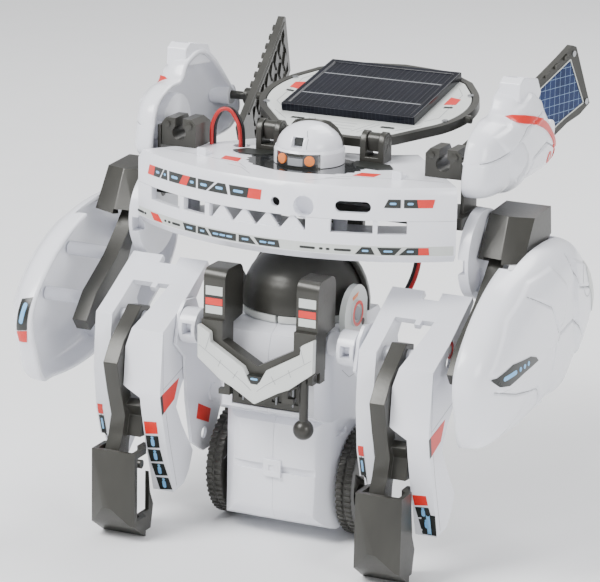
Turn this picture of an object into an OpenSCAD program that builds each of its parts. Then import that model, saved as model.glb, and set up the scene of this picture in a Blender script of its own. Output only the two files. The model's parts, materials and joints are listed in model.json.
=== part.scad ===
// Solar robot kit: a walking figure with wheels at its base, a tilting solar panel on its back and
// two solar wings. Lengths in millimetres, +Z up, the figure faces -Y, and +X is its left hand.
// Outlines are measured from the wheel axle: y = 0 on the axle, z = 0 on the ground. placed() then
// moves them so that the origin is the middle of the footprint.

/* [Drive] */
// Radius of each wheel
wheel_r = 19; // [18:0.5:19.5]
// Width of each wheel
wheel_w = 5.5; // [4.5:0.25:6]
// Radius of the steel wheel axle
axle_r = 1; // [0.8:0.1:1.2]
// Size of a gear tooth, as pitch diameter over teeth
gear_module = 0.5; // [0.48:0.01:0.52]

/* [Body] */
// Half the width of the gear case
case_half = 20.2; // [19.8:0.1:20.3]
// Wall of the moulded casings
wall = 1.8; // [1.4:0.1:2]
// Radius of the helmet dome
dome_r = 20.6; // [20:0.1:20.7]
// Half the width of the torso
torso_half = 20.4; // [20:0.1:20.45]

/* [Hull] */
// Radius of the hull's curved front
hull_r = 95; // [94.6:0.1:95.2]
// Height of the hull's deck above the ground
deck_z = 124.6; // [124.4:0.1:124.6]

/* [Limbs] */
// Width of the flat links in the arms and legs
link_w = 5.3; // [4.6:0.1:5.3]
// Radius of the hip shafts
hip_r = 2.4; // [2:0.1:2.6]
// Radius of the ankle and elbow pins
pin_r = 1.5; // [1.2:0.1:1.7]

/* [Solar panel] */
// Width of the solar cell
cell_w = 49; // [46:1:52]
// Length of the solar cell
cell_l = 44; // [42:1:46]
// Tilt of the panel at rest, in degrees
panel_tilt = 10.4; // [8:0.2:12]

/* [Hidden] */
$fn = 64;
front_y = -53;                       // foremost point, at the forearm shells
back_y = 112.4;                      // rearmost point, at the wings
running = 0.06;                      // radial clearance of a shaft in its bearing
white = [0.93, 0.93, 0.96];
gunmetal = [0.33, 0.33, 0.31];
pale = [0.86, 0.88, 0.86];
steel = [0.75, 0.76, 0.78];
cell_blue = [0.07, 0.1, 0.2];
orange = [0.95, 0.52, 0.25];
cream = [0.92, 0.89, 0.78];
red = [0.85, 0.2, 0.15];
black = [0.06, 0.06, 0.07];

hull_y = hull_r - 29;                // centre of the hull's front arc
hull_inner = 46;                     // radius of the hull's rear edge
hull_span = 37;                      // half the hull's angle, in degrees
axle_z = wheel_r;
counter = [-9, 27.15];               // y, z of the counter shaft
motor = [0, 34.5];                   // y, z of the motor shaft
axle_teeth = 36;
small_teeth = 12;
big_teeth = 36;
pinion_teeth = 10;
counter_r = 0.75;
hip = [-25, 71.5];                   // y, z of the hip axis
ankle = [-39.5, 25.5];               // y, z of the ankle axis
shoulder = [10, 107];                // y, z of the shoulder axis
elbow = [6, 102];                    // y, z of the elbow axis
pod_axis = [9, 127.5];               // y, z of the pod pivot
wing_axis = [60, 131];               // y, z of the wing pivot
panel_axis = [13.2, 132];            // y, z of the panel hinge
lever_axis = [-34.4, 62.5];          // y, z of the ball lever's pin
lever_x = 16;
clip_hole = [47.6, 129.2];           // x, z of the holes in the deck clips
clip_hole_r = 2.5;
dome_y = -1;

// ---- Helpers ----

module placed() translate([0, -(front_y + back_y) / 2, 0]) children();

module both() {
    children();
    mirror([1, 0, 0]) children();
}

// A slab of an outline in y, z between x0 and x1
module slab_x(x0, x1, outline) {
    translate([x0, 0, 0]) rotate([90, 0, 90]) linear_extrude(x1 - x0) polygon(outline);
}

// A slab of an outline in x, z between y0 and y1
module slab_y(y0, y1, outline) {
    translate([0, y1, 0]) rotate([90, 0, 0]) linear_extrude(y1 - y0) polygon(outline);
}

// A box from its low corner to its high corner
module block(low, high) translate(low) cube(high - low);

// A round bar along X from x0 to x1, at a place in y, z
module bar_x(x0, x1, at, r) {
    translate([x0, at[0], at[1]]) rotate([0, 90, 0]) cylinder(r = r, h = x1 - x0);
}

// A round bar along Y from y0 to y1, at a place in x, z
module bar_y(y0, y1, at, r) {
    translate([at[0], y1, at[1]]) rotate([90, 0, 0]) cylinder(r = r, h = y1 - y0);
}

// Points along an arc, from angle a0 to a1 in n steps
function arc(centre, r, a0, a1, n) = [
    for (i = [0:n]) let (a = a0 + (a1 - a0) * i / n) centre + r * [cos(a), sin(a)]
];

function shifted(outline, by) = [for (p = outline) p + by];
function mirrored(half) = concat(half, [for (i = [len(half) - 1:-1:0]) [-half[i][0], half[i][1]]]);

// A closed smooth curve through some points, with n steps between each two
function curve_point(a, b, c, d, t) =
    0.5 * (2 * b + (c - a) * t + (2 * a - 5 * b + 4 * c - d) * t * t
    + (3 * b - a - 3 * c + d) * t * t * t);
function closed_curve(points, n) = let (m = len(points)) [
    for (i = [0:m - 1], j = [0:n - 1])
        curve_point(points[(i + m - 1) % m], points[i], points[(i + 1) % m], points[(i + 2) % m], j / n)
];

// A thin dish: its rim is a closed outline in y, z at x = rim_x, and its crown is depth further out
dish_rings = 7;
function dish_surface(outline, centre, rim_x, depth, squareness) = concat([
    for (k = [0:dish_rings - 1], p = outline)
        let (a = 90 * k / dish_rings, s = pow(cos(a), squareness), q = centre + s * (p - centre))
        [rim_x + depth * pow(sin(a), squareness), q[0], q[1]]
], [[rim_x + depth, centre[0], centre[1]]]);

module dish(outline, centre, rim_x, depth, skin, squareness = 0.75) {
    n = len(outline);
    inner = [for (p = outline) p + skin * (centre - p) / norm(centre - p)];
    half = n * dish_rings + 1;
    strips = [for (k = [0:dish_rings - 2], i = [0:n - 1])
        [k * n + i, (k + 1) * n + i, (k + 1) * n + (i + 1) % n, k * n + (i + 1) % n]];
    fan = [for (i = [0:n - 1]) [(dish_rings - 1) * n + i, half - 1, (dish_rings - 1) * n + (i + 1) % n]];
    out_faces = concat(strips, fan);
    in_faces = [for (f = out_faces) [for (i = [len(f) - 1:-1:0]) f[i] + half]];
    rim = [for (i = [0:n - 1]) [i, (i + 1) % n, half + (i + 1) % n, half + i]];
    polyhedron(
        points = concat(dish_surface(outline, centre, rim_x, depth, squareness),
            dish_surface(inner, centre, rim_x, depth - skin, squareness)),
        faces = concat(out_faces, in_faces, rim), convexity = 6);
}

// Spur gear outline with a tooth at the given angle
function gear_outline(teeth, angle) = let (
    pitch = teeth * gear_module / 2, step = 360 / teeth,
    radii = [pitch - 1.1 * gear_module, pitch + 0.85 * gear_module],
    across = [-0.27, -0.11, 0.11, 0.27])
    [for (i = [0:teeth - 1], k = [0:3]) let (
        a = angle + (i + across[k]) * step, r = radii[k == 1 || k == 2 ? 1 : 0])
        r * [cos(a), sin(a)]];

function heading(from, to) = atan2(to[1] - from[1], to[0] - from[0]);

module gear_x(x0, x1, at, teeth, angle) slab_x(x0, x1, shifted(gear_outline(teeth, angle), at));

// Something at the hull's curved front, at a given x
module on_hull(x) {
    translate([0, hull_y, 0]) rotate([0, 0, asin(x / hull_r)]) translate([0, -hull_r, 0]) children();
}

module hull_ring(half_angle, profile) {
    translate([0, hull_y, 0]) rotate([0, 0, -90 - half_angle])
        rotate_extrude(angle = 2 * half_angle, $fn = 180) polygon(profile);
}

// The panel's own frame: x across, y up the panel's slope, z away from its face, hinge at the origin
module on_panel() translate([0, panel_axis[0], panel_axis[1]]) rotate([panel_tilt, 0, 0]) children();

// ---- Gear case and drive ----

case_outer = concat(
    [[-18.5, 44], [-22, 41], [-22.6, 34], [-22.6, 18]], arc([-13.6, 13.8], 9, 190, 262, 4),
    [[10, 4.9]], arc([12, 13.8], 9, 278, 350, 4), [[21, 36], [17, 44]]);
case_inner = [[-17.5, 42.2], [-20.4, 39.6], [-20.8, 33], [-20.8, 18], [-18.6, 10.6], [-13, 6.8],
    [11.4, 6.8], [17, 10.6], [19.2, 18], [19.2, 35.4], [16, 42.2]];
case_plan = mirrored([[0, 25], [14, 25], [case_half, 18], [case_half, -14], [18.6, -18.5],
    [14.5, -21.8], [9, -23], [0, -23]]);

case_room = mirrored([[0, 23], [13, 23], [case_half - wall, 16.6], [case_half - wall, -13], [16.6, -17],
    [12.8, -20], [8, -21.2], [0, -21.2]]);

module gear_case(bearings) {
    difference() {
        intersection() {
            slab_x(0.05, case_half, case_outer);
            linear_extrude(60) polygon(case_plan);
        }
        difference() {
            intersection() {
                slab_x(-1, case_half - wall, case_inner);
                linear_extrude(60) polygon(case_room);
            }
            bar_x(case_half - 4.4, case_half, [0, axle_z], 4);
            if (bearings) bar_x(case_half - 5, case_half, counter, 2.6);
        }
        bar_x(case_half - 6, case_half + 1, [0, axle_z], axle_r + running);
        if (bearings) bar_x(case_half - 6, case_half - 0.8, counter, counter_r + running);
        block([-1, -24, 24.2], [case_half + 1, -21.4, 26.6]);      // groove across the front
        block([case_half - 0.7, -17, 37.4], [case_half + 1, -9, 39.2]);   // slot in the side
    }
}
module gear_case_left() color(white) placed() gear_case(true);
module gear_case_right() color(white) placed() mirror([1, 0, 0]) gear_case(false);

module seam_clip() color(white) placed() difference() {
    block([-3.2, -23.6, 22.6], [3.2, -22.65, 28.6]);
    block([-1.2, -24, 24.6], [1.2, -23.1, 26.6]);
}

gear_plate_x = [5.1, 6.3];
module gear_plate() color(white) placed() difference() {
    slab_x(gear_plate_x[0], gear_plate_x[1], [[-16.5, 41.9], [-20, 38], [-20.4, 18.4], [-17, 9.6],
        [-11, 7], [10, 7], [16, 10.6], [18.9, 18.4], [18.9, 35], [15.4, 41.9]]);
    bar_x(5, 7, [0, axle_z], axle_r + running);
    bar_x(5, 7, counter, counter_r + running);
    bar_x(5, 7, motor, 3 + running);
}

module motor_can() color(steel) placed() difference() {
    union() {
        intersection() {
            bar_x(-14.5, 4.9, motor, 10);
            block([-15, -11, motor[1] - 7.4], [5, 11, motor[1] + 7.4]);
        }
        bar_x(4.9, 6.2, motor, 3);
    }
    bar_x(-16, 7, motor, 1 + running);
}

module motor_end_cap() color(cream) placed() difference() {
    union() {
        intersection() {
            bar_x(-17.4, -14.5, motor, 9.6);
            block([-18, -11, motor[1] - 7], [-14, 11, motor[1] + 7]);
        }
        bar_x(-18.2, -17.4, motor, 3);
    }
    bar_x(-18.4, -14, motor, 1 + running);
}

module motor_shaft() color(steel) placed() bar_x(-18, 14, motor, 1);

module motor_pinion() color(cream) placed() difference() {
    gear_x(9.8, 13.2, motor, pinion_teeth, heading(motor, counter) + 180 / pinion_teeth);
    bar_x(9, 14, motor, 1);
}

module counter_gear() color(cream) placed() difference() {
    union() {
        gear_x(6.7, 9.95, counter, small_teeth, heading(counter, [0, axle_z]) + 180 / small_teeth);
        gear_x(9.95, 12.6, counter, big_teeth, heading(counter, motor));
    }
    bar_x(6, 13, counter, counter_r);
}

module counter_shaft() color(steel) placed() bar_x(5.2, case_half - 1, counter, counter_r);

module wheel_axle() color(steel) placed() bar_x(-26.2, 26.2, [0, axle_z], axle_r);

module axle_gear() color(cream) placed() difference() {
    union() {
        gear_x(6.7, 9.4, [0, axle_z], axle_teeth, heading([0, axle_z], counter));
        bar_x(9.4, 14, [0, axle_z], 2.4);
    }
    bar_x(6, 15, [0, axle_z], axle_r);
}

tread_ribs = 54;
module wheel() {
    x0 = 21;
    x1 = x0 + wheel_w;
    difference() {
        union() {
            slab_x(x0, x1, [for (i = [0:tread_ribs - 1], k = [0:3]) let (
                a = -90 + (i + [-0.28, -0.22, 0.22, 0.28][k]) * 360 / tread_ribs,
                r = wheel_r - (k == 0 || k == 3 ? 0.6 : 0))
                [r * cos(a), axle_z + r * sin(a)]]);
            bar_x(x0 - 0.35, x1 - 0.3, [0, axle_z], 3.4);
        }
        difference() {
            bar_x(x1 - 2.6, x1 + 1, [0, axle_z], 15.6);
            bar_x(x1 - 4, x1 - 0.3, [0, axle_z], 4.6);
            for (i = [0:5]) translate([x1 - 4, 0, axle_z]) rotate([60 * i, 0, 0])
                block([0, -1.6, 0], [3.1, 1.6, 16]);
        }
        translate([x0, 0, axle_z]) rotate([0, 90, 0]) translate([0, 0, wheel_w / 2 - 0.4])
            difference() {
                cylinder(r = wheel_r + 1, h = 0.8);
                cylinder(r = wheel_r - 0.9, h = 0.8);
            }
        bar_x(x0 - 1, x1 + 1, [0, axle_z], axle_r);
    }
}
module wheel_left() color(gunmetal) placed() wheel();
module wheel_right() color(gunmetal) placed() mirror([1, 0, 0]) wheel();

// ---- Torso, helmet and chest ----

torso_outer = [[-23, 44.05], [-27.5, 46.6], [-27.5, 67], [-25.6, 72.4], [-21, 74.9], [16, 74.9],
    [20, 71], [21.5, 52], [18, 44.05]];
torso_inner = [[-22, 45.8], [-25.6, 48], [-25.6, 66.4], [-24, 71], [-20, 73.1], [15, 73.1],
    [18.2, 70], [19.6, 52], [16.6, 45.8]];
torso_plan = mirrored([[0, 24], [14, 24], [torso_half, 18], [torso_half, -21], [16.5, -27.5], [0, -28]]);

torso_room = mirrored([[0, 22.2], [13.2, 22.2], [torso_half - wall, 16.8], [torso_half - wall, -19.8],
    [15.2, -25.6], [0, -26]]);

module torso() difference() {
    intersection() {
        slab_x(0.05, torso_half, torso_outer);
        linear_extrude(90) polygon(torso_plan);
    }
    intersection() {
        slab_x(-1, torso_half - wall, torso_inner);
        linear_extrude(90) polygon(torso_room);
    }
    block([-1, -30, 47.6], [13, -25, 61.4]);
}
module torso_left() color(white) placed() torso();
module torso_right() color(white) placed() mirror([1, 0, 0]) torso();

module belly_plate() color(gunmetal) placed() difference() {
    block([-12.9, -27.2, 47.7], [12.9, -25.65, 61.3]);
    for (x = [-9, -3, 3, 9]) block([x - 1.6, -28, 50], [x + 1.6, -26.6, 59.5]);
}

module spine() color(gunmetal) placed() difference() {
    union() {
        block([-8, 22.6, 48], [8, 26.6, 109.75]);
        both() block([8, 22.6, 92], [11, 25, 109.75]);
    }
    for (z = [56:14:98]) block([-4.6, 24.2, z], [4.6, 28, z + 9]);
}

dome_base = 77.7;
dome_h = 21.6;
function dome_curve(r, h, a0) = [for (i = [0:11]) let (a = a0 + (90 - a0) * i / 11)
    [r * cos(a), dome_base + h * sin(a)]];

module helmet_dome() color(gunmetal) placed() translate([0, dome_y, 0]) rotate_extrude($fn = 72)
    polygon(concat(dome_curve(dome_r, dome_h, 0),
        [for (i = [11:-1:0]) dome_curve(dome_r - wall, dome_h - wall, 0)[i]]));

module helmet_band() color(pale) placed() translate([0, dome_y, 0]) difference() {
    rotate_extrude($fn = 72) polygon([[17, 75], [20.2, 75], [20.75, 75.6], [20.75, 77.6], [17, 77.6]]);
    block([-0.5, -22, 74], [0.5, -16, 78.2]);
}

module helmet_back() color(gunmetal) placed() translate([0, dome_y, 0]) rotate([0, 0, 12])
    rotate_extrude(angle = 156, $fn = 72)
        polygon(concat([for (i = [0:9]) dome_curve(22.7, 23.2, -4)[i]],
            [for (i = [9:-1:0]) dome_curve(20.98, 21.95, -4)[i]]));

module ear_covers() color(pale) placed() both() difference() {
    union() {
        slab_x(20.85, 22.9, concat(arc([-9, 78.5], 9.6, 20, 200, 12), [[-18, 71.5], [0, 71.5]]));
        bar_x(22.9, 23.6, [-9.2, 78.6], 4.4);
    }
    bar_x(23.1, 24, [-9.2, 78.6], 3.2);
}

yoke_v = mirrored([[0, 50.9], [12.4, 57.7], [20.4, 64.4], [20.4, 77.6], [12.7, 77.6], [12.7, 71.2],
    [0, 64.2]]);
pillar_side = concat([[-34.5, 64], [-34.5, 90.5]], arc([-31, 90.8], 3.5, 180, 90, 4),
    arc([-24.2, 90.8], 3.5, 90, 0, 4), [[-20.7, 76.6], [-27.8, 75.6], [-27.8, 64]]);
module shoulder_yoke() color(gunmetal) placed() difference() {
    union() {
        slab_y(-36, -31.5, yoke_v);
        both() slab_x(12.7, 20.4, pillar_side);
        both() block([9.4, -37, 53.4], [11.4, -34.6, 62]);
        both() block([9.4, -37, 53.4], [13.4, -34.6, 55.2]);
        both() block([14, -31.6, 60], [20.2, -27.6, 66]);
        block([lever_x - 3.6, -36, 60.4], [lever_x - 1.9, -32.6, 65]);
        block([lever_x + 1.9, -36, 60.4], [lever_x + 3.6, -32.6, 65]);
    }
    block([lever_x - 1.9, -37, 56], [lever_x + 1.9, -31.4, 65.2]);
    bar_x(lever_x - 5, lever_x + 5, lever_axis, 0.9 + running);
}

module chest_plate() color(pale) placed() difference() {
    slab_y(-38.4, -36.05, mirrored([[0, 52], [8.6, 57], [12.4, 58.7], [20.5, 65], [20.6, 76.3],
        [16.2, 73.9],
        [15.9, 70.8], [4.2, 64], [1.8, 59.6], [0, 59.6]]));
    both() block([9.2, -38, 53], [13.6, -36, 62.2]);
    block([lever_x - 4, -37.6, 56], [lever_x + 4, -36, 66]);
}

module ball_lever() color(gunmetal) placed() {
    bar_x(lever_x - 3.5, lever_x + 3.5, lever_axis, 0.9);
    translate([lever_x, lever_axis[0], 44.7]) {
        cylinder(r = 1.5, h = lever_axis[1] - 44.7);
        sphere(r = 3.4);
    }
}

// ---- Legs ----

module hip_clamps() color(white) placed() both() difference() {
    union() {
        bar_x(torso_half + 0.05, 25.4, hip + [2, 0], 4);
        bar_x(25.4, 31.2, hip, 6);
    }
    bar_x(25, 36, hip, hip_r + running);
    block([26.6, hip[0] - 8, hip[1] - 2], [30, hip[0], hip[1] + 2]);
}

// Both legs are the same casting, one pitch apart
leg_pitch = 95;
outer_tine = [[-5.7, 88.3], [-25.4, 77.3], [-38.5, 71.7], [-40.5, 51.6], [-38.7, 43.4], [-35.7, 32.2],
    [-29.7, 13.8], [-22, 14.8], [-18.3, 18.3], [-15.5, 24.5], [-24, 36], [-28.5, 43.5], [-25.6, 48.8],
    [-19.4, 56], [-16.7, 58.7], [-17.3, 65], [-19, 68], [-17, 75], [-4.4, 86.4]];
inner_tine = [[-5.7, 88.3], [-25.4, 77.3], [-32.5, 73.7], [-33.4, 66], [-34, 55], [-32.2, 40],
    [-27.3, 25], [-20, 21.6], [-14, 27], [-11.6, 40], [-11.6, 64], [-14.6, 75], [-4.4, 86.4]];
tine_in = [1.9, -0.7];               // how far in the hollow of a tine starts

// One side of a leg's shell: a channel that is open at its back
module tine(x0, x1, outline) difference() {
    slab_x(x0, x1, outline);
    slab_x(x0 + 1.4, x1 - 1.4, shifted(outline, tine_in));
}

module leg_shell() difference() {
    union() {
        tine(34, 40, inner_tine);
        tine(54.3, 62, outer_tine);
        intersection() {                                          // the wide tine's upper half
            tine(48.5, 55.7, outer_tine);
            slab_y(-60, 0, [[48.4, 52.5], [48.4, 65], [54.3, 84], [56, 90], [56, 47.5]]);
        }
        slab_x(34, 62, [[-5.7, 88.3], [-17.4, 81.8], [-16.6, 80], [-4.4, 86.4]]);
        slab_x(47.4, 49.4, [[-17.4, 81.8], [-19.4, 80.7], [-18.6, 79.2], [-16.6, 80]]);
    }
    bar_x(30, 63, hip, hip_r);
    bar_x(61.2, 63, [-22.4, 74.9], 3.2);                          // shallow round seat on the outside
    block([45.4, -9, 80], [51.6, -3, 90]);                        // notch in the top edge
    block([33, -29, 20], [35.5, -22, 44]);                        // the narrow tine is open low down
}
module leg_shell_left() color(white) placed() leg_shell();
module leg_shell_right() color(white) placed() translate([-leg_pitch, 0, 0]) leg_shell();

link_x = 42.9;
leg_link_side = [[-20.5, 74.6], [-27, 76.2], [-34, 71], [-39.6, 67], [-44.4, 60.4], [-41.6, 50],
    [-38.6, 41], [-40.6, 34.6], [-43.4, 29.5], [-43.4, 23], [-36, 22], [-35.4, 31], [-32.6, 40],
    [-35, 50], [-36.6, 58.6], [-32.6, 63], [-25, 67], [-21, 68]];
leg_flange_side = [[-36, 46.8], [-38, 45], [-35.6, 41], [-37.4, 34], [-30, 33.4], [-26, 40], [-27, 46.8]];
module leg_link() difference() {
    union() {
        slab_x(link_x, link_x + link_w, leg_link_side);
        slab_x(link_x + 1.8, 53.4, leg_flange_side);
    }
    bar_x(42, 54, hip, hip_r);
    bar_x(42, 54, ankle, pin_r + running);
}
module leg_link_left() color(gunmetal) placed() leg_link();
module leg_link_right() color(gunmetal) placed() translate([-leg_pitch, 0, 0]) leg_link();

hub_plate = [[-29, 76], [-24.8, 79.5], [-17, 78.6], [-6.6, 59], [3.4, 44.4], [3.2, 36.3], [-3.6, 23],
    [-10.3, 23],
    [-19, 28.4], [-23, 44], [-24.6, 60], [-31.4, 66]];
// The hub that turns in the hip clamp: its shaft, and the plate that hangs from it
module hip_shaft() difference() {
    union() {
        bar_x(26.4, 59.4, hip, hip_r);
        slab_x(31.6, 32.7, hub_plate);
        bar_x(30.9, 31.7, [-3.6, 42.1], 3.2);
    }
    bar_x(31, 33, [-10, 29.3], 2);
}
module hip_shaft_left() color(white) placed() hip_shaft();
module hip_shaft_right() color(white) placed() mirror([1, 0, 0]) hip_shaft();

foot_side = [[-46.6, 31], [-51, 12.5], [-47.4, 6], [-38.5, 0], [-30, 0], [-28.2, 8], [-30.6, 13],
    [-33, 31]];
foot_hollow = [[-44.6, 33], [-49, 12.8], [-46, 7.4], [-38, 2], [-31, 2], [-20, 12], [-20, 33]];
foot_plan = [[40, -46.6], [47.6, -52], [56, -46.6], [56, -38.2], [53.6, -36.2], [53.6, -27], [41.4, -27],
    [41.4, -36.2], [40, -38.2]];
module foot(open_from, open_to) {
    difference() {
        intersection() {
            slab_x(40, 56, foot_side);
            linear_extrude(40) polygon(foot_plan);
        }
        intersection() {
            slab_x(41.7, 54.3, foot_hollow);
            linear_extrude(40) polygon([[41.7, -44.8], [47.6, -49.4], [54.3, -44.8], [54.3, -39.6],
                [52.2, -37.6], [52.2, -20], [42.4, -20], [42.4, -37.6], [41.7, -39.6]]);
        }
        block([open_from, -44.6, 7], [open_to, -31.6, 29]);       // open on the side towards the wheels
    }
    bar_x(41, 55, ankle, pin_r);
}
module foot_left() color(gunmetal) placed() foot(39, 42.6);
module foot_right() color(gunmetal) placed() translate([-leg_pitch, 0, 0]) foot(51.9, 57);

// ---- Hull ----

module hull_frame() color(gunmetal) placed() difference() {
    union() {
        block([-57.5, -6, 109.8], [57.5, 13, 113.8]);
        block([-14, 13, 109.8], [14, 27, 113.8]);
        both() block([54.2, 0.4, 113.7], [55.4, 12.6, 131.6]);
    }
    both() bar_x(53, 57, pod_axis, 2.2);
    both() block([16, -2, 109], [34, 9, 115]);
    both() for (x = [12, 42]) translate([x, 1, 109]) cylinder(r = 1.2, h = 6);
        block([31, 7.4, 109], [38.6, 14, 115]);
}

band_low = 100;
band_top = 109.6;
gap_top = 113.9;
hull_wall = 2;
floor_inner = 58;                    // radius of the rear edge of the lower shell's floor
windows = [[-57, -49.6], [-35.6, -33.8], [-24.6, -22.8], [12.4, 20.4], [33.6, 35], [43.6, 57]];
module hull_sector(x0, x1, profile) {
    translate([0, hull_y, 0]) rotate([0, 0, -90 + asin(x0 / hull_r)])
        rotate_extrude(angle = asin(x1 / hull_r) - asin(x0 / hull_r), $fn = 180) polygon(profile);
}
module hull_lower() color(white) placed() {
    difference() {
        hull_ring(hull_span, [[floor_inner, band_low + 1.4], [90, band_low + 0.7], [93, band_low],
            [hull_r, band_low + 2.4], [hull_r, gap_top], [hull_r - hull_wall, gap_top],
            [hull_r - hull_wall, band_low + 3.2], [floor_inner, band_low + 3.2]]);
        for (i = [0:len(windows) - 2]) hull_sector(windows[i][1], windows[i + 1][0],
            [[hull_r - 4, band_top], [hull_r + 1, band_top], [hull_r + 1, gap_top + 1],
            [hull_r - 4, gap_top + 1]]);
        translate([36.4, 9.8, band_low - 1]) cylinder(r = 3.4, h = 6);
    }
    for (x = [-18, -9.4, -0.8, 7.8]) on_hull(x) slab_y(0.6, 1.6, [[-3.8, band_top - 1],
        [3.8, band_top - 1],
        [3.8, band_top + 0.2], [0.5, gap_top], [-0.5, gap_top], [-3.8, band_top + 0.2]]);
    both() for (x = [12, 42]) translate([x, 1, band_low + 2]) cylinder(r = 2.4, h = 7.7);
}

module oblong(x0, x1, z, r) {
    on_hull((x0 + x1) / 2) {
        half = (x1 - x0) / 2 - r;
        bar_y(-4, 3, [-half, z], r);
        bar_y(-4, 3, [half, z], r);
        block([-half, -4, z - r], [half, 3, z + r]);
    }
}

module hull_upper() color(white) placed() difference() {
    union() {
        difference() {
            hull_ring(hull_span, [[hull_r, 114], [hull_r, deck_z - 2.4], [hull_r - 1.6, deck_z],
                [hull_inner, deck_z], [hull_inner, 117], [hull_r - 10, 114]]);
            hull_ring(hull_span - 1.3, [[hull_r - hull_wall, 110], [hull_r - hull_wall, deck_z - 3.4],
                [hull_r - 3, deck_z - wall], [hull_inner + 1.6, deck_z - wall], [hull_inner + 1.6, 110]]);
        }
        both() for (x = [12, 42]) translate([x, 1, 113.85]) cylinder(r = 2.4, h = 9.5);
        translate([0, 2, 121]) cylinder(r = 13.8, h = 2);
        on_hull(11.6) translate([0, 1.9, 0]) bar_y(0, 3.4, [0, 117.4], 4.6);
        both() {
            block([33.4, -7.6, deck_z - 0.1], [36.6, -2.4, deck_z + 1]);
            block([33.4, -7.6, deck_z], [36.6, -6.4, deck_z + 2.6]);
        }
    }
    translate([0, 2, deck_z - 1.2]) cylinder(r = 13, h = 3);
    translate([0, 2, 118]) cylinder(r = 3 + running, h = 8);
    on_hull(2) bar_y(-2, 4, [0, 117.9], 1.6);
    on_hull(11.6) bar_y(-2, 4.2, [0, 117.4], 3.4);
    oblong(21.6, 33.2, 118.2, 1.9);
    both() block([46.4, 2, deck_z - 3], [48.8, 6, deck_z + 1]);
    translate([-29.8, 12.8, 118]) cylinder(r = 2.9, h = 8);
}

// Discs under the hull's ends that carry the arms
module shoulder_brackets() color(white) placed() both() difference() {
    union() {
        bar_x(57.6, 61.2, [6, 100], 15);
        bar_x(61.2, 61.7, shoulder, 5);
    }
    bar_x(57, 62, shoulder, 2.5 + running);
    bar_x(60, 62, [2, 92], 4);
    block([56, -12, 96], [60, -4, 101]);
}

// ---- Arms ----

box_side = [[7.2, 113.6], [-2.2, 100.5], [8, 97.4], [24, 105], [22.6, 114.4]];
box_ridge = [[3.6, 114], [-3.6, 99.6], [8, 97.4], [24, 105], [22.6, 114.4]];
box_hollow = [[8.4, 111.6], [0.6, 100.4], [3, 90], [26, 96], [22, 104.6], [21, 112.2]];
module arm_box() difference() {
    union() {
        hull() {
            slab_x(62, 77.5, box_side);
            slab_x(69.4, 70, box_ridge);
        }
        bar_x(61.8, 62.1, shoulder, 4);
    }
    slab_x(63.8, 75.7, box_hollow);
    slab_x(63.8, 70.3, [[-6, 90], [-6, 100.9], [1.2, 101.4], [3, 104], [8, 104], [8, 90]]);
    bar_x(60, 65, shoulder, 2.5);
    bar_x(61, 79, elbow, pin_r + running);
}
module shoulder_stub() difference() {
    bar_x(57.7, 63.8, shoulder, 2.5);
    bar_x(57, 60, shoulder, 1);
}
module arm_box_left() color(gunmetal) placed() {
    arm_box();
    shoulder_stub();
}
module arm_box_right() color(gunmetal) placed() mirror([1, 0, 0]) {
    arm_box();
    shoulder_stub();
}

arm_link_side = [[10, 105], [5.4, 105.6], [3, 103], [1.8, 99.4], [-3, 94.4], [-11.4, 87], [-26, 78],
    [-33, 70],
    [-30, 66], [-22, 69.6], [-5, 81], [3, 94.6], [9, 98.6]];
arm_stud = [[-22, 74.4], [-6, 86.4]];
arm_link_x = 64.4;
module arm_link() {
    slab_x(arm_link_x, arm_link_x + link_w, arm_link_side);
    bar_x(62.1, 77.4, elbow, pin_r);
}
module arm_link_left() color(gunmetal) placed() arm_link();
module arm_link_right() color(gunmetal) placed() mirror([1, 0, 0]) arm_link();

arm_outline = closed_curve([[-53, 73], [-50.4, 62], [-46, 51.6], [-38, 50.6], [-20, 50], [4, 52.4],
    [22, 52], [34, 59],
    [47, 68], [54, 80], [46, 92.6], [30, 102.4], [6, 104.6], [-18, 101], [-36, 93], [-49, 82]], 2);
arm_rim_x = 74;
module arm_shell() difference() {
    union() {
        dish(arm_outline, [2, 76], arm_rim_x, 14, 1.7, 0.6);
        for (s = arm_stud) bar_x(arm_link_x + link_w + 0.05, 85.6, s, 2.4);
        block([73, -1, 52.6], [83, 6, 57.6]);
    }
    bar_x(60, 78.4, elbow, 21);
}
module arm_shell_left() color(white) placed() arm_shell();
module arm_shell_right() color(white) placed() mirror([1, 0, 0]) arm_shell();

// ---- Head ----

module on_head() translate([0, 2, 0]) children();
module head_base() color(gunmetal) placed() on_head() {
    rotate_extrude() polygon([[0, 118.4], [3, 118.4], [3, 123.7], [11, 123.7], [11.4, 124.4],
        [11.4, 129.6],
        [10, 130], [0, 130]]);
    rotate([0, 0, 25]) rotate_extrude(angle = 130) polygon([[7.4, 130], [11.4, 130], [10.9, 133.3],
        [9.2, 136],
        [7.4, 137.6], [6.7, 135.6], [7.4, 133.6]]);
}
head_curve = [for (i = [0:8]) [10.9 * cos(i * 10.9), 130.1 + 8.1 * sin(i * 10.9)]];
module head_shell() color(white) placed() on_head() difference() {
    rotate_extrude() polygon(concat([[0, 130.1]], head_curve, [[0, 138.15]]));
    rotate([0, 0, 24]) rotate_extrude(angle = 132) polygon([[6.2, 130], [14, 130], [14, 140],
        [6.2, 140]]);
    block([-2, -13, 131.2], [2, -8.2, 134.6]);
}
module head_eyes() color(orange) placed() on_head() both()
    rotate([0, 0, 24]) translate([0, -12.3, 127.4]) rotate([-90, 0, 0]) cylinder(r = 1.7, h = 0.85);

// ---- Solar panel ----

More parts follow.
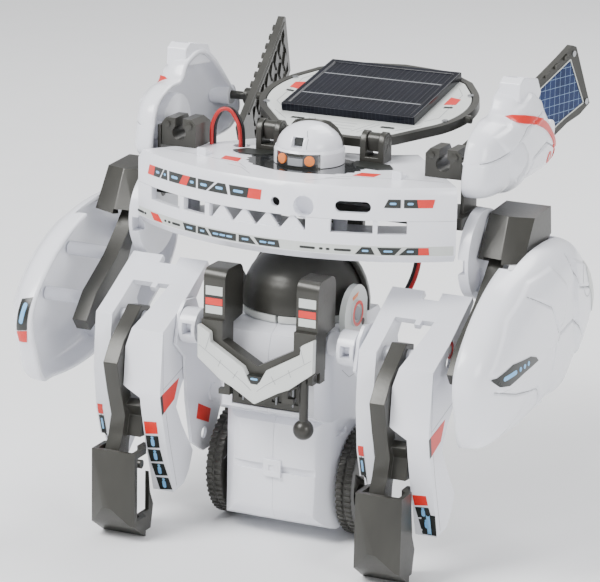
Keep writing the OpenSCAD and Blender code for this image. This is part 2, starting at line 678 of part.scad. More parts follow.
bracket_side = concat([[9.6, deck_z + 0.05], [9.6, 131]], arc([panel_axis[0], 131.4], 3.5, 170, 10, 6),
    [[16.8, 128], [16.8, deck_z + 0.05]]);
module panel_brackets() color(gunmetal) placed() both() difference() {
    slab_x(14.6, 23.2, bracket_side);
    block([16.7, 8, 126.6], [21.1, 18, 136]);
    bar_x(14, 24, panel_axis, 1.3 + running);
}

// Half of the panel's outline, up its slope from the hinge
panel_half = concat([[0, 3.4], [13, 3.4], [22, 8.4]], arc([8.6, 38.4], 30, -34, 34, 12),
    [[29, 62], [18, 70], [0, 72.4]]);
module panel_frame() color(gunmetal) placed() on_panel() {
    difference() {
        translate([0, 0, -5]) linear_extrude(3) polygon(mirrored(panel_half));
        translate([0, 0, -3.2]) linear_extrude(3) polygon(mirrored([for (p = panel_half)
            [p[0] * 0.94, 38 + (p[1] - 38) * 0.94]]));
        translate([0, 0, -6]) linear_extrude(1.4) polygon(mirrored([for (p = panel_half)
            [p[0] * 0.9, 38 + (p[1] - 38) * 0.9]]));
    }
    both() difference() {
        union() {
            block([16.9, -1.6, -3.4], [20.9, 12, -0.4 - 1.6]);
            bar_x(16.9, 20.9, [0, 0], 2.3);
            block([16.9, -2.3, -3.4], [20.9, 2.3, 0]);
            bar_x(14.7, 23.1, [0, 0], 1.3);
        }
        block([15, 5.2, -3.3], [22, 14, 0]);
    }
    both() bar_x(37, 39.8, [33, -3.4], 1.4);
}

plate_half = [for (p = panel_half) [p[0] * 0.93, 38 + (p[1] - 38) * 0.93]];
module panel_plate() color(pale) placed() on_panel() difference() {
    translate([0, 0, -3.15]) linear_extrude(1.1) polygon(mirrored(plate_half));
    both() block([14, 14.6, -4], [19, 16.4, 0]);
    both() block([10, 4, -4], [24, 6.6, 0]);
}

cell_s = 19.6;
module solar_cell() color(cell_blue) placed() on_panel() difference() {
    block([-cell_w / 2, cell_s, -2], [cell_w / 2, cell_s + cell_l, 0.9]);
    block([-cell_w / 2 + 2, cell_s + 2, 0.5], [cell_w / 2 - 2, cell_s + cell_l - 2, 1]);
}

// ---- Deck clips, pods and wings ----

clip_top = concat([[41.4, deck_z + 0.05], [41.4, 132.4], [43, 134.2]], [[46, 134.2]], [[49.2, 134.2]],
    [[52.4, 134.2], [54, 132.4], [54, deck_z + 0.05]]);
module deck_clips() color(gunmetal) placed() both() difference() {
    union() {
        slab_y(1, 14, clip_top);
        for (x = [43.6, 51.8]) bar_y(0.4, 1, [x, 132], 1);
    }
    bar_y(-1, 16, clip_hole, clip_hole_r);
    block([clip_hole[0] - 1.4, -1, clip_hole[1]], [clip_hole[0] + 1.4, 16, 136]);
    slab_x(40, 56, [[9, 136], [16, 136], [16, 127.4]]);
    bar_x(50.9, 55, pod_axis, 1.8 + running);
}

pod_outline = closed_curve([[-3, 122.4], [3, 118.8], [20, 118.7], [44, 118.3], [60, 119.8], [66, 127],
    [57, 136.4], [44, 147.6], [34, 151.4], [24, 149], [19, 143.6], [10, 142.4], [1, 138],
    [-2.4, 130]], 2);
pod_rim_x = 55.8;
pod_hook = [[24.6, 147], [25, 153], [28, 154.6], [42, 152], [45.6, 147], [44, 145]];
module pod() difference() {
    union() {
        dish(pod_outline, [34, 131], pod_rim_x, 11.5, 1.6, 0.6);
        bar_x(51, 64.8, pod_axis, 1.8);
        bar_x(56.2, 64.8, pod_axis, 3.4);
        bar_x(56.2, 63.6, wing_axis, 3.6);
        slab_x(57, 64.4, pod_hook);
        intersection() {
            translate([59.4, 19, 128]) sphere(r = 10.6);
            block([57.2, 0, 110], [75, 40, 150]);
        }
    }
    bar_x(55, 61, wing_axis, 1.5 + running);
    slab_x(58.4, 62.8, [[28, 149], [28, 160], [38.6, 160], [38.6, 149]]);
    translate([69.8, 19, 128]) rotate([47, 0, 0]) block([-1.2, -0.9, -6], [2, 0.9, 6]);
}
module pod_left() color(white) placed() pod();
module pod_right() color(white) placed() mirror([1, 0, 0]) pod();

// The wings toe out: their own frame has y along the wing from its root
wing_toe = 12.7;
wing_half = 1.2;
module on_wing() translate([41, 35, 0]) rotate([0, 0, -wing_toe]) children();
wing_outline = [[-2, 125.6], [0, 127.2], [16, 133], [40.6, 141.8], [58.4, 149.4], [66, 153],
    [68.4, 152.2], [79, 130.6],
    [72.6, 127.4], [64.4, 125.6], [36.6, 114.4], [20, 112.6], [4, 117]];
wing_cell_outline = [[44, 140], [64.6, 148.2], [74.6, 131.4], [62, 127.6], [48.6, 122.6]];
wing_cells = [for (p = wing_cell_outline) [59.4, 134.4] + 0.96 * (p - [59.4, 134.4])];
module wing() difference() {
    union() {
        on_wing() slab_x(-wing_half, wing_half, wing_outline);
        bar_x(47, 59.8, wing_axis, 1.5);
        bar_x(47.4, 50.6, wing_axis, 3);
    }
    on_wing() slab_x(wing_half - 0.7, wing_half + 3, wing_cell_outline);
    on_wing() intersection() {
        slab_x(-wing_half - 1, 0.1 - wing_half / 2, [[14, 129], [42, 139.4], [64.6, 149.4],
            [75, 131.4], [62, 126.4],
            [38, 117], [20, 115.6]]);
        union() for (i = [0:8], j = [0:2]) translate([0, 6.9 * i + 1.5 * j, 2.7 * i - 8.6 * j])
            slab_x(-3, 0, [[12, 127], [16, 133.4], [20, 129.4], [16, 123]]);
    }
}
module wing_left() color(gunmetal) placed() wing();
module wing_right() color(gunmetal) placed() mirror([1, 0, 0]) wing();

module wing_cell() on_wing() slab_x(wing_half - 0.65, wing_half + 0.12, wing_cells);
module wing_cell_left() color(cell_blue) placed() wing_cell();
module wing_cell_right() color(cell_blue) placed() mirror([1, 0, 0]) wing_cell();

// ---- Leads ----

lead_r = 0.65;
lead_sides = 8;
// Routes of the leads: from the hull's underside to the torso, and in a loop over the deck
long_route = [[33, 10, 122], [33.5, 10, 114], [36, 9.6, 106], [37.6, 9, 98], [37, 8, 90], [34, 7, 82],
    [29.6, 6, 75], [25, 5.4, 69], [21.6, 5, 64], [19.4, 5, 60]];
short_route = [[-30, 12, 122], [-30, 12, 127], [-30.6, 11.6, 132], [-33.4, 11, 136.6], [-37, 10.4, 136.4],
    [-39.4, 9.8, 131.6], [-39.6, 9.6, 124.7]];

function unit(v) = v / norm(v);
function path_heading(path, i) = unit(path[min(i + 1, len(path) - 1)] - path[max(i - 1, 0)]);
function lead_ring(path, i) = let (
    along = path_heading(path, i), u = unit(cross(along, [0, 1, 0.01])), v = cross(along, u))
    [for (k = [0:lead_sides - 1])
        let (a = 360 * k / lead_sides) path[i] + lead_r * (cos(a) * u + sin(a) * v)];
function open_curve(points, n) = let (m = len(points)) concat([
    for (i = [0:m - 2], j = [0:n - 1]) curve_point(points[max(i - 1, 0)], points[i], points[i + 1],
        points[min(i + 2, m - 1)], j / n)], [points[m - 1]]);

module lead(route) {
    path = open_curve(route, 2);
    rings = len(path);
    n = lead_sides;
    polyhedron(
        points = [for (i = [0:rings - 1]) each lead_ring(path, i)],
        faces = concat(
            [[for (k = [0:n - 1]) k]],
            [for (i = [0:rings - 2], k = [0:n - 1])
                [i * n + k, (i + 1) * n + k, (i + 1) * n + (k + 1) % n, i * n + (k + 1) % n]],
            [[for (k = [n - 1:-1:0]) (rings - 1) * n + k]]),
        convexity = 4);
}
module red_leads() color(red) placed() {
    lead(long_route);
    lead(short_route);
}
module black_leads() color(black) placed() {
    lead([for (p = long_route) p + [-1.6, 1.2, 0]]);
    lead([for (p = short_route) p + [0.4, 1.7, 0]]);
}

// ---- Nodes ----

gear_case_left();
gear_case_right();
seam_clip();
gear_plate();
motor_can();
motor_end_cap();
motor_shaft();
motor_pinion();
counter_gear();
counter_shaft();
wheel_axle();
axle_gear();
wheel_left();
wheel_right();
torso_left();
torso_right();
belly_plate();
spine();
helmet_dome();
helmet_band();
helmet_back();
ear_covers();
shoulder_yoke();
chest_plate();
ball_lever();
hip_clamps();
leg_shell_left();
leg_shell_right();
leg_link_left();
leg_link_right();
hip_shaft_left();
hip_shaft_right();
foot_left();
foot_right();
hull_frame();
hull_lower();
hull_upper();
shoulder_brackets();
arm_box_left();
arm_box_right();
arm_link_left();
arm_link_right();
arm_shell_left();
arm_shell_right();
head_base();
head_shell();
head_eyes();
panel_brackets();
panel_frame();
panel_plate();
solar_cell();
deck_clips();
pod_left();
pod_right();
wing_left();
wing_right();
wing_cell_left();
wing_cell_right();
red_leads();
black_leads();
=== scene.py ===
import json
import math
import bpy
import bmesh
import numpy as np
from mathutils import Vector, Matrix
from mathutils.bvhtree import BVHTree


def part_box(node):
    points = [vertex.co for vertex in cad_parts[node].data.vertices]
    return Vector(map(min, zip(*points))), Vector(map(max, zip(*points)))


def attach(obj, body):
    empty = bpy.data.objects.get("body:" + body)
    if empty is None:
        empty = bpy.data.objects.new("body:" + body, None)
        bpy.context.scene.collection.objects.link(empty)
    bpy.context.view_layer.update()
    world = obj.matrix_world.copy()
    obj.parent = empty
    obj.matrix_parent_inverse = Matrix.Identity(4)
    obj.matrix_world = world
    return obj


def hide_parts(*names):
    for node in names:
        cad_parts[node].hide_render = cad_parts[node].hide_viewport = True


# Lengths are in millimetres and are measured from the wheel axle, as in the part: x across, y from
# the axle towards the figure's back, z up from the ground.
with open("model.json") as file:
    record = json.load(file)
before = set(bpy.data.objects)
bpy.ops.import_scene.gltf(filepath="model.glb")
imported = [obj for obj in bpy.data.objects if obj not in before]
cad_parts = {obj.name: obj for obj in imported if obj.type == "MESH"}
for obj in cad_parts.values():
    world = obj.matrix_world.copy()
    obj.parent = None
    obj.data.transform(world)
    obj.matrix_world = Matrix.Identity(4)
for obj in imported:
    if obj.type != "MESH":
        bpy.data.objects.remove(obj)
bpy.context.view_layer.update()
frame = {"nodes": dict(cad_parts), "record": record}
nodes = frame["nodes"]

MM = 0.001
axle_low, axle_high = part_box("wheel_axle")
axle_y = (axle_low[1] + axle_high[1]) / 2 / MM
SIDES = {"left": 1, "right": -1}

# The part's own sizes that the looks are laid on
DECK_Z = 124.6
LEG_PITCH = 95
LEG_FACE_X = 62
HUB_FACE_X = 61.2
HUB_CENTRE = (-22.4, 74.9)
EAR_CENTRE = (-9.2, 78.6)
CASE_HALF = 20.2
TORSO_HALF = 20.4
HULL_R, HULL_Y = 95, 66
PANEL_AXIS, PANEL_TILT = (13.2, 132), math.radians(10.4)
PANEL_FACE = -2.05
CELL_LIFT = 2.55
WING_ROOT, WING_TOE, WING_HALF = (41, 35), math.radians(12.7), 1.2
ARM_CENTRE, ARM_RIM, ARM_DEPTH, ARM_SKIN = (2, 76), 74, 14, 1.7
POD_CENTRE, POD_RIM, POD_DEPTH, POD_SKIN = (34, 131), 55.8, 11.5, 1.6
GROOVE_DEPTH, PLATE_RISE = 0.5, 1.1
KNUCKLE_X, KNUCKLE_YZ, KNUCKLE_R = 59.4, (19, 128), 10.6


def at(x, y, z):
    """A point measured from the axle, in the frame's metres."""
    return Vector((x, y + axle_y, z)) * MM


# ---- Camera, light and floor ----

def set_camera():
    azimuth, elevation, roll = math.radians(24), math.radians(15.5), math.radians(1.2)
    back = Vector((math.sin(azimuth) * math.cos(elevation), -math.cos(azimuth) * math.cos(elevation),
                   math.sin(elevation)))
    camera = bpy.data.objects.new("camera", bpy.data.cameras.new("camera"))
    bpy.context.collection.objects.link(camera)
    camera.data.sensor_width = 36
    camera.data.lens = 174
    camera.data.dof.use_dof = False
    camera.rotation_mode = "QUATERNION"
    turn = (-back).to_track_quat("-Z", "Y")
    camera.rotation_quaternion = turn @ Matrix.Rotation(roll, 4, "Z").to_quaternion()
    camera.location = at(-1.5, 0, 80.6) + back * 0.96667
    bpy.context.scene.camera = camera


def area_light(place, size, power):
    light = bpy.data.objects.new("light", bpy.data.lights.new("light", "AREA"))
    bpy.context.collection.objects.link(light)
    light.data.size = size
    light.data.energy = power
    light.location = place
    light.rotation_euler = (Vector((0, 0, 0.08)) - Vector(place)).to_track_quat("-Z", "Y").to_euler()


def set_stage():
    area_light((-0.45, -0.6, 0.9), 0.5, 17)
    area_light((0.85, -0.5, 0.45), 0.4, 5)
    area_light((0.1, 0.7, 1.0), 0.7, 12)
    world = bpy.data.worlds.new("studio")
    bpy.context.scene.world = world
    world.use_nodes = True
    world.node_tree.nodes["Background"].inputs[0].default_value = (0.97, 0.98, 1, 1)
    world.node_tree.nodes["Background"].inputs[1].default_value = 0.5
    mesh = bpy.data.meshes.new("floor")
    mesh.from_pydata([(-3, -3, 0), (3, -3, 0), (3, 3, 0), (-3, 3, 0)], [], [(0, 1, 2, 3)])
    floor = bpy.data.objects.new("floor", mesh)
    bpy.context.collection.objects.link(floor)
    mesh.materials.append(surface("floor_paint", (0.93, 0.935, 0.945), (0.92, 0.925, 0.935), 0.7, 30, 0.02))


# ---- Materials ----

def surface(name, colour, second, rough, scale, bump, metal=0.0, coat=0.0, streak=None):
    """A finish whose colour, gloss and grain wander between two shades; streak stretches the grain."""
    material = bpy.data.materials.new(name)
    material.use_nodes = True
    tree = material.node_tree
    shader = tree.nodes["Principled BSDF"]
    shader.inputs["Metallic"].default_value = metal
    shader.inputs["Coat Weight"].default_value = coat
    shader.inputs["Coat Roughness"].default_value = 0.12
    place = tree.nodes.new("ShaderNodeTexCoord")
    mapping = tree.nodes.new("ShaderNodeMapping")
    mapping.inputs["Scale"].default_value = streak or (1, 1, 1)
    tree.links.new(place.outputs["Object"], mapping.inputs["Vector"])

    def noise(size, detail):
        made = tree.nodes.new("ShaderNodeTexNoise")
        made.inputs["Scale"].default_value = size
        made.inputs["Detail"].default_value = detail
        tree.links.new(mapping.outputs["Vector"], made.inputs["Vector"])
        return made.outputs["Fac"]

    blotch = noise(scale, 4)
    grain = noise(scale * 26, 3)
    shades = tree.nodes.new("ShaderNodeValToRGB")
    shades.color_ramp.elements[0].position = 0.36
    shades.color_ramp.elements[1].position = 0.64
    shades.color_ramp.elements[0].color = (*second, 1)
    shades.color_ramp.elements[1].color = (*colour, 1)
    tree.links.new(blotch, shades.inputs["Fac"])
    tree.links.new(shades.outputs["Color"], shader.inputs["Base Color"])
    gloss = tree.nodes.new("ShaderNodeMapRange")
    gloss.inputs["To Min"].default_value = rough * 0.8
    gloss.inputs["To Max"].default_value = min(rough * 1.25, 1)
    tree.links.new(grain, gloss.inputs["Value"])
    tree.links.new(gloss.outputs["Result"], shader.inputs["Roughness"])
    relief = tree.nodes.new("ShaderNodeBump")
    relief.inputs["Strength"].default_value = bump
    relief.inputs["Distance"].default_value = 0.0001
    tree.links.new(grain, relief.inputs["Height"])
    tree.links.new(relief.outputs["Normal"], shader.inputs["Normal"])
    return material


def cell_film(name, dark, line, pitch, across):
    """A solar cell: fine pale lines on a dark film; across adds the second direction."""
    material = surface(name, dark, tuple(c * 0.6 for c in dark), 0.2, 60, 0.02)
    tree = material.node_tree
    shader = tree.nodes["Principled BSDF"]
    shader.inputs["Specular IOR Level"].default_value = 0.15
    base = shader.inputs["Base Color"].links[0].from_socket
    place = tree.nodes.new("ShaderNodeTexCoord")
    parts = tree.nodes.new("ShaderNodeSeparateXYZ")
    tree.links.new(place.outputs["Object"], parts.inputs["Vector"])

    def lines(socket, width):
        scaled = tree.nodes.new("ShaderNodeMath")
        scaled.operation = "PINGPONG"
        scaled.inputs[1].default_value = pitch * MM / 2
        tree.links.new(socket, scaled.inputs[0])
        thin = tree.nodes.new("ShaderNodeMath")
        thin.operation = "LESS_THAN"
        thin.inputs[1].default_value = width * MM
        tree.links.new(scaled.outputs[0], thin.inputs[0])
        return thin.outputs[0]

    mask = lines(parts.outputs["Y" if across else "X"], 0.09)
    if across:
        both = tree.nodes.new("ShaderNodeMath")
        both.operation = "MAXIMUM"
        tree.links.new(mask, both.inputs[0])
        tree.links.new(lines(parts.outputs["Z"], 0.09), both.inputs[1])
        mask = both.outputs[0]
    mix = tree.nodes.new("ShaderNodeMix")
    mix.data_type = "RGBA"
    tree.links.new(mask, mix.inputs["Factor"])
    tree.links.new(base, mix.inputs["A"])
    mix.inputs["B"].default_value = (*line, 1)
    tree.links.new(mix.outputs["Result"], shader.inputs["Base Color"])
    return material


def make_materials():
    return {
        "white": surface("white_plastic", (0.87, 0.88, 0.93), (0.85, 0.86, 0.915), 0.24, 45, 0.04,
                         coat=0.25),
        "dark": surface("dark_plastic", (0.055, 0.054, 0.047), (0.042, 0.041, 0.036), 0.34, 70, 0.12,
                        metal=0.3, streak=(1, 1, 0.35)),
        "steel": surface("steel", (0.6, 0.61, 0.63), (0.5, 0.51, 0.53), 0.25, 120, 0.1, metal=1,
                         streak=(0.2, 1, 1)),
        "nylon": surface("nylon", (0.78, 0.74, 0.6), (0.73, 0.69, 0.55), 0.45, 80, 0.06),
        "pale": surface("pale_grey", (0.66, 0.68, 0.66), (0.62, 0.64, 0.62), 0.34, 60, 0.05, coat=0.1),
        "orange": surface("orange", (0.9, 0.27, 0.06), (0.85, 0.22, 0.05), 0.3, 200, 0.03),
        "panel": cell_film("panel_cell", (0.006, 0.007, 0.013), (0.02, 0.022, 0.03), 1.5, False),
        "film": cell_film("wing_cell", (0.015, 0.035, 0.12), (0.22, 0.32, 0.5), 3.1, True),
        "red_lead": surface("red_lead", (0.5, 0.02, 0.02), (0.42, 0.015, 0.015), 0.4, 300, 0.05),
        "black_lead": surface("black_lead", (0.016, 0.016, 0.018), (0.01, 0.01, 0.012), 0.4, 300, 0.05),
        "ink": surface("sticker_dark", (0.022, 0.024, 0.022), (0.016, 0.018, 0.016), 0.3, 150, 0.03),
        "gloss": surface("sticker_gloss", (0.03, 0.032, 0.033), (0.022, 0.024, 0.026), 0.08, 80, 0.01,
                         coat=1),
        "red": surface("sticker_red", (0.74, 0.03, 0.02), (0.68, 0.024, 0.018), 0.3, 150, 0.03),
        "blue": surface("sticker_blue", (0.16, 0.45, 0.8), (0.26, 0.55, 0.85), 0.3, 260, 0.02),
        "foil": surface("sticker_pale", (0.62, 0.65, 0.62), (0.58, 0.6, 0.58), 0.32, 120, 0.03),
        "finger": surface("cell_finger", (0.013, 0.014, 0.021), (0.01, 0.011, 0.017), 0.3, 200, 0.02),
        # Grey for the head window, cell buses, ear core and belly ribs. As thin strips in seams, grooves,
        # creases and panel lines it is painted shadow, standing in for the shade that falls in them.
        "line": surface("grey_and_painted_line_shade", (0.33, 0.34, 0.36), (0.28, 0.29, 0.31), 0.5, 200, 0.03),
    }


SLOTS = {"white": "white_plastic", "dark": "dark_plastic", "steel": "steel", "nylon": "gear_nylon",
         "pale": "pale_grey", "orange": "orange", "panel": "panel_cell", "film": "wing_cell",
         "red_lead": "red_lead", "black_lead": "black_lead"}


def finish_nodes(finishes):
    """Every CAD piece that stays in view gets its finish, welded seams and small round edges."""
    by_slot = {record_slot: name for name, record_slot in SLOTS.items()}
    for part in frame["record"]["subparts"]:
        piece = nodes[part["node"]]
        piece.data.materials.clear()
        piece.data.materials.append(finishes[by_slot[part["material_slot"]]])
        weld = piece.modifiers.new("weld", "WELD")
        weld.merge_threshold = 0.00002
        edges = piece.modifiers.new("edges", "BEVEL")
        edges.width = 0.0003
        edges.segments = 2
        edges.limit_method = "ANGLE"
        edges.angle_limit = math.radians(38)
        edges.use_clamp_overlap = True
        for face in piece.data.polygons:
            face.use_smooth = True
        soft = piece.modifiers.new("soft", "WEIGHTED_NORMAL")
        soft.keep_sharp = True


# ---- Making pieces ----

def link(name, mesh, body, finish, smooth=False):
    piece = bpy.data.objects.new(name, mesh)
    bpy.context.collection.objects.link(piece)
    mesh.materials.append(finishes[finish])
    for face in mesh.polygons:
        face.use_smooth = smooth
    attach(piece, body)
    return piece


def layer(name, body, finish, outlines, place, low=0.02, high=0.1, step=None):
    """Thin closed pads. place turns (u, v, height) into a point; step cuts them up so that they bend."""
    mesh = bpy.data.meshes.new(name)
    pad = bmesh.new()
    for outline in outlines:
        pad.faces.new([pad.verts.new((u, v, low)) for u, v in outline])
    if step:
        for axis in (0, 1):
            values = [v.co[axis] for v in pad.verts]
            count = int((max(values) - min(values)) / step)
            for i in range(1, count + 1):
                cut = Vector((0, 0, 0))
                cut[axis] = min(values) + i * (max(values) - min(values)) / (count + 1)
                normal = Vector((0, 0, 0))
                normal[axis] = 1
                everything = pad.verts[:] + pad.edges[:] + pad.faces[:]
                bmesh.ops.bisect_plane(pad, geom=everything, plane_co=cut, plane_no=normal)
    raised = bmesh.ops.extrude_face_region(pad, geom=pad.faces[:])["geom"]
    for vert in raised:
        if isinstance(vert, bmesh.types.BMVert):
            vert.co.z = high
    for vert in pad.verts:
        vert.co = place(*vert.co)
    bmesh.ops.triangulate(pad, faces=[f for f in pad.faces if len(f.verts) > 4])
    bmesh.ops.recalc_face_normals(pad, faces=pad.faces[:])
    pad.to_mesh(mesh)
    pad.free()
    return link(name, mesh, body, finish)


def disc(u, v, radius, count=24):
    return [(u + radius * math.cos(a), v + radius * math.sin(a))
            for a in (2 * math.pi * i / count for i in range(count))]


def strip(a, b, width):
    """The outline of a straight line of that width."""
    start, end = Vector(a), Vector(b)
    along = (end - start).normalized() * width / 2
    side = Vector((-along.y, along.x))
    return [tuple(start + side), tuple(start - side), tuple(end - side), tuple(end + side)]


def strips(points, width):
    return [strip(a, b, width) for a, b in zip(points, points[1:])]


def pill(a, b, width, count=6):
    """A line with round ends."""
    heading = math.atan2(b[1] - a[1], b[0] - a[0])
    ends = []
    for centre, turn in ((b, -0.5), (a, 0.5)):
        for i in range(count + 1):
            angle = heading + math.pi * (turn + i / count)
            ends.append((centre[0] + width / 2 * math.cos(angle), centre[1] + width / 2 * math.sin(angle)))
    return ends


def ring(name, body, finish, centre, inner, outer, place, low=0.02, high=0.1, count=32):
    mesh = bpy.data.meshes.new(name)
    made = bmesh.new()
    loops = []
    for radius, height in ((inner, low), (outer, low), (outer, high), (inner, high)):
        loops.append([made.verts.new(place(u, v, height)) for u, v in disc(*centre, radius, count)])
    for k in range(4):
        for i in range(count):
            j = (i + 1) % count
            made.faces.new((loops[k][i], loops[k][j], loops[(k + 1) % 4][j], loops[(k + 1) % 4][i]))
    bmesh.ops.recalc_face_normals(made, faces=made.faces[:])
    made.to_mesh(mesh)
    made.free()
    return link(name, mesh, body, finish)


# Places: each turns (u, v, height) into a point
def on_front(y):
    return lambda u, v, h: at(u, y - h, v)


def on_side(x, way):
    return lambda u, v, h: at(x + way * h, u, v)


def on_top(z):
    return lambda u, v, h: at(u, v, z + h)


def on_hull(u, v, h):
    """u runs along the curved front as x, v is the height."""
    angle = math.asin(u / HULL_R)
    return at((HULL_R + h) * math.sin(angle), HULL_Y - (HULL_R + h) * math.cos(angle), v)


def on_panel(u, v, h):
    """u across, v up the slope from the hinge, height above the plate."""
    up = h + PANEL_FACE
    return at(u, PANEL_AXIS[0] + v * math.cos(PANEL_TILT) - up * math.sin(PANEL_TILT),
              PANEL_AXIS[1] + v * math.sin(PANEL_TILT) + up * math.cos(PANEL_TILT))


def on_wing(side, outside=True):
    """u along the wing, v is the height, on its outer or inner face."""
    def place(u, v, h):
        out = (WING_HALF + h) * (1 if outside else -1)
        return at(side * (WING_ROOT[0] + u * math.sin(WING_TOE) + out * math.cos(WING_TOE)),
                  WING_ROOT[1] + u * math.cos(WING_TOE) - out * math.sin(WING_TOE), v)
    return place


def onto(tree, start, towards):
    """Projects (u, v) from the plane that start gives, along towards, onto a mesh."""
    way = Vector(towards).normalized()

    def place(u, v, h):
        point = tree.ray_cast(start(u, v), way)[0]
        if point is None:
            point = tree.find_nearest(start(u, v) + way * 0.03)[0]
        return point - way * h * MM
    return place


def tree_of(mesh):
    return BVHTree.FromPolygons([v.co for v in mesh.vertices], [p.vertices for p in mesh.polygons])


# ---- Leads ----

LONG_ROUTE = [(33, 10, 122), (33.5, 10, 114), (36, 9.6, 106), (37.6, 9, 98), (37, 8, 90), (34, 7, 82),
              (29.6, 6, 75), (25, 5.4, 69), (21.6, 5, 64), (19.4, 5, 60)]
SHORT_ROUTE = [(-30, 12, 122), (-30, 12, 127), (-30.6, 11.6, 132), (-33.4, 11, 136.6), (-37, 10.4, 136.4),
               (-39.4, 9.8, 131.6), (-39.6, 9.6, 124.7)]
LEAD_R = 0.65


def smooth_route(points, steps=6):
    """The curve through the points that the part's own leads follow."""
    path = []
    last = len(points) - 1
    for i in range(last):
        a, b, c, d = (Vector(points[k]) for k in (max(i - 1, 0), i, i + 1, min(i + 2, last)))
        for j in range(steps):
            t = j / steps
            path.append(0.5 * (2 * b + (c - a) * t + (2 * a - 5 * b + 4 * c - d) * t * t
                               + (3 * b - a - 3 * c + d) * t ** 3))
    return path + [Vector(points[last])]


def make_lead(name, node, finish, route, shift):
    path = [at(*(p + Vector(shift))) for p in smooth_route(route)]
    curve = bpy.data.curves.new(name, "CURVE")
    curve.dimensions = "3D"
    curve.bevel_depth = LEAD_R * MM
    curve.bevel_resolution = 4
    curve.use_fill_caps = True
    spline = curve.splines.new("POLY")
    spline.points.add(len(path) - 1)
    for point, place in zip(spline.points, path):
        point.co = (*place, 1)
    curve.materials.append(finishes[finish])
    lead = bpy.data.objects.new(name, curve)
    bpy.context.collection.objects.link(lead)
    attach(lead, "chassis")
    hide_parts(node)


def make_leads():
    for name, node, finish, long_shift, short_shift in (
            ("lead_red", "red_leads", "red_lead", (0, 0, 0), (0, 0, 0)),
            ("lead_black", "black_leads", "black_lead", (-1.6, 1.2, 0), (0.4, 1.7, 0))):
        make_lead(name + "_long", node, finish, LONG_ROUTE, long_shift)
        make_lead(name + "_loop", node, finish, SHORT_ROUTE, short_shift)


# ---- Moulded shells: arms and pods ----

def closed_curve(points, steps):
    count = len(points)
    path = []
    for i in range(count):
        a, b, c, d = (Vector(points[(i + k) % count]) for k in (-1, 0, 1, 2))
        for j in range(steps):
            t = j / steps
            path.append(0.5 * (2 * b + (c - a) * t + (2 * a - 5 * b + 4 * c - d) * t * t
                               + (3 * b - a - 3 * c + d) * t ** 3))
    return path


def distances(points, line):
    """How far each point is from a chain of straight stretches."""
    best = np.full(len(points), 1e9)
    for a, b in zip(line, line[1:]):
        a, b = np.array(a, float), np.array(b, float)
        t = np.clip((points - a) @ (b - a) / ((b - a) @ (b - a)), 0, 1)
        best = np.minimum(best, np.linalg.norm(points - a - t[:, None] * (b - a), axis=1))
    return best


def within(points, outline):
    """True for each point inside a closed outline."""
    inside = np.zeros(len(points), bool)
    for (y0, z0), (y1, z1) in zip(outline, outline[1:] + outline[:1]):
        crosses = (z0 > points[:, 1]) != (z1 > points[:, 1])
        where = y0 + (points[:, 1] - z0) * (y1 - y0) / ((z1 - z0) or 1e-9)
        inside ^= crosses & (points[:, 0] < where)
    return inside


def dish_mesh(name, side, outline, centre, rim, depth, skin, grooves, plates, count=22, rings=80):
    """A thin moulded shell, as the part's dish, with grooves and raised plates on its outer face."""
    edge = np.array([tuple(p) for p in closed_curve(outline, count)])
    middle = np.array(centre, float)
    inward = middle - edge
    inner_edge = edge + skin * inward / np.linalg.norm(inward, axis=1)[:, None]

    def half(border, out, carved):
        angle = np.pi / 2 * np.arange(rings) / rings
        shrink = np.cos(angle) ** 0.6
        flat = (middle + shrink[:, None, None] * (border - middle)).reshape(-1, 2)
        x = np.repeat(rim + out * np.sin(angle) ** 0.6, len(border))
        if carved:
            for line in grooves:
                x -= GROOVE_DEPTH * np.clip(1.6 - distances(flat, line) / 0.35, 0, 1)
            for plate in plates:
                ramp = np.clip(distances(flat, plate + plate[:1]) / 0.9, 0, 1)
                x += PLATE_RISE * ramp * within(flat, plate) * np.repeat(np.sin(angle), len(border))
        points = [at(side * px, py, pz) for px, (py, pz) in zip(x, flat)]
        return points + [at(side * x[-1], *middle)]

    n = len(edge)
    size = n * rings + 1
    faces = []
    for k in range(rings - 1):
        for i in range(n):
            faces.append((k * n + i, (k + 1) * n + i, (k + 1) * n + (i + 1) % n, k * n + (i + 1) % n))
    for i in range(n):
        faces.append(((rings - 1) * n + i, size - 1, (rings - 1) * n + (i + 1) % n))
    faces += [tuple(size + v for v in reversed(face)) for face in faces]
    for i in range(n):
        faces.append((i, (i + 1) % n, size + (i + 1) % n, size + i))
    mesh = bpy.data.meshes.new(name)
    mesh.from_pydata(half(edge, depth, True) + half(inner_edge, depth - skin, False), [], faces)
    made = bmesh.new()
    made.from_mesh(mesh)
    bmesh.ops.recalc_face_normals(made, faces=made.faces[:])
    made.to_mesh(mesh)
    made.free()
    return mesh


def solid_mesh(shapes):
    """Bars along X and slabs of an outline in y, z, as one mesh."""
    mesh = bpy.data.meshes.new("solid")
    made = bmesh.new()
    for x0, x1, outline in shapes:
        ends = [[made.verts.new(at(x, *p)) for p in outline] for x in (x0, x1)]
        made.faces.new(ends[0])
        made.faces.new(ends[1])
        for i in range(len(outline)):
            j = (i + 1) % len(outline)
            made.faces.new((ends[0][i], ends[0][j], ends[1][j], ends[1][i]))
    bmesh.ops.recalc_face_normals(made, faces=made.faces[:])
    made.to_mesh(mesh)
    made.free()
    return mesh


def combine(mesh, other, operation):
    """A mesh with another joined to it or cut out of it."""
    holders = [bpy.data.objects.new("holder", m) for m in (mesh, other)]
    for holder in holders:
        bpy.context.collection.objects.link(holder)
    tool = holders[0].modifiers.new("tool", "BOOLEAN")
    tool.operation = operation
    tool.object = holders[1]
    tool.solver = "EXACT"
    bpy.context.view_layer.update()
    settled = holders[0].evaluated_get(bpy.context.evaluated_depsgraph_get())
    result = bpy.data.meshes.new_from_object(settled)
    for holder in holders:
        bpy.data.objects.remove(holder)
    return result


